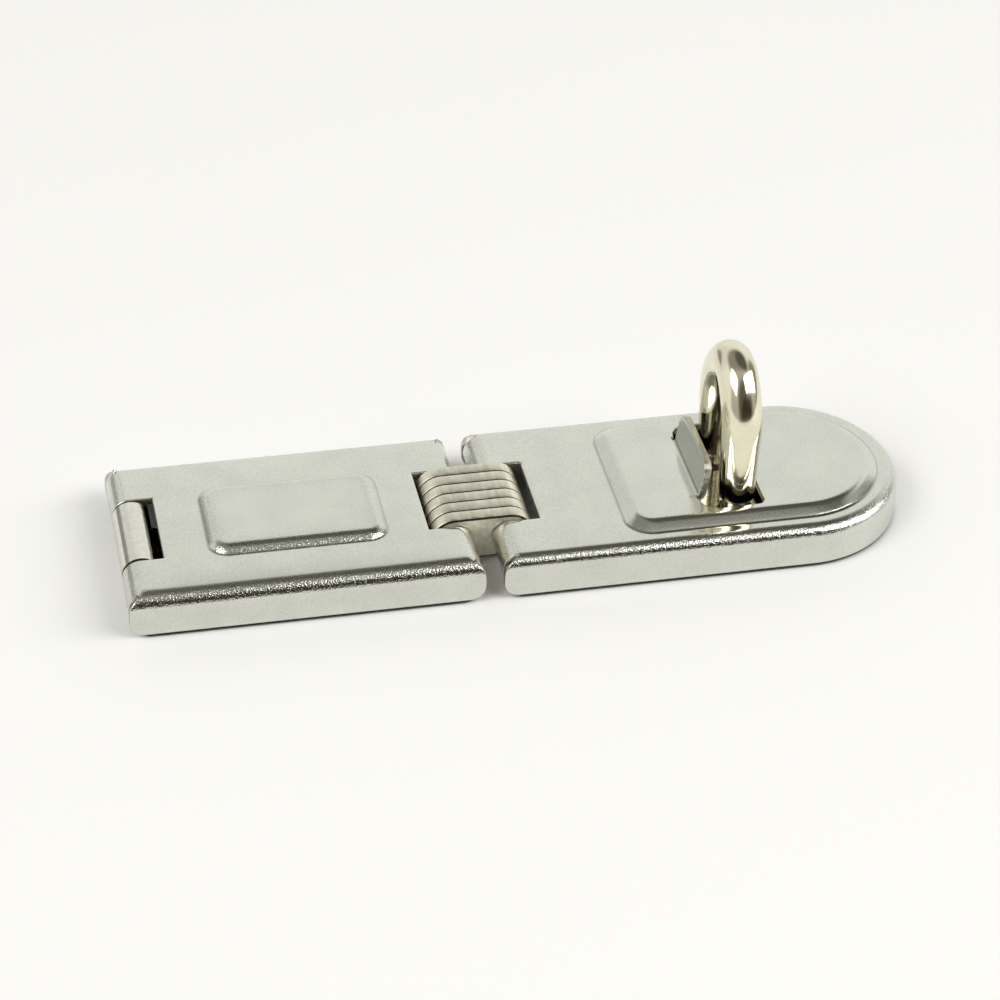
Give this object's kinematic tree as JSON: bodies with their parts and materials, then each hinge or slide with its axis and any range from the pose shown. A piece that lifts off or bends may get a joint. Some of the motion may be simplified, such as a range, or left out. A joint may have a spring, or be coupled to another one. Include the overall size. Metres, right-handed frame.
{
  "type": "hasp and staple",
  "caption": "Double-jointed steel hasp lying closed: two pressed leaves joined by stamped links, concealed fixing plates, and a thick staple through the slot.",
  "frame": {"origin": "middle of the box round the closed hasp, on its mounting plane", "axes": "+X runs from the base hinge towards the staple, +Z points away from the door the plates are screwed to"},
  "size_m": [0.155, 0.044, 0.0378],
  "materials": {
    "zinc_leaf": "satin zinc plate",
    "link_steel": "dull stamped zinc plate",
    "pin_steel": "plain drawn steel",
    "plated_plate": "satin zinc plate",
    "nickel_staple": "polished nickel plate"
  },
  "bodies": {
    "base": {"base_plate": "plated_plate", "base_hinge_pin": "pin_steel"},
    "cover": {"cover_leaf": "zinc_leaf", "cover_link_pin": "pin_steel"},
    "links": {"link_plate_1": "link_steel", "link_plate_2": "link_steel", "link_plate_3": "link_steel", "link_plate_4": "link_steel", "link_plate_5": "link_steel", "link_plate_6": "link_steel"},
    "hasp": {"hasp_leaf": "zinc_leaf", "hasp_link_pin": "pin_steel"},
    "staple": {"staple_plate": "plated_plate", "staple": "nickel_staple"}
  },
  "joints": [
    {"name": "base_hinge", "type": "hinge", "parent": "base", "child": "cover", "pos_m": [-0.07385, 0, 0.00505], "axis": [0, -1, 0], "range_deg": [0, 175]},
    {"name": "cover_link_hinge", "type": "hinge", "parent": "cover", "child": "links", "pos_m": [-0.01315, 0, 0.00505], "axis": [0, -1, 0], "range_deg": [-45, 72]},
    {"name": "hasp_link_hinge", "type": "hinge", "parent": "links", "child": "hasp", "pos_m": [-0.00235, 0, 0.00505], "axis": [0, -1, 0], "range_deg": [-45, 72]},
    {"name": "staple_lift", "type": "slide", "parent": "hasp", "child": "staple", "axis": [0, 0, -1], "range_m": [0, 0.04]}
  ]
}
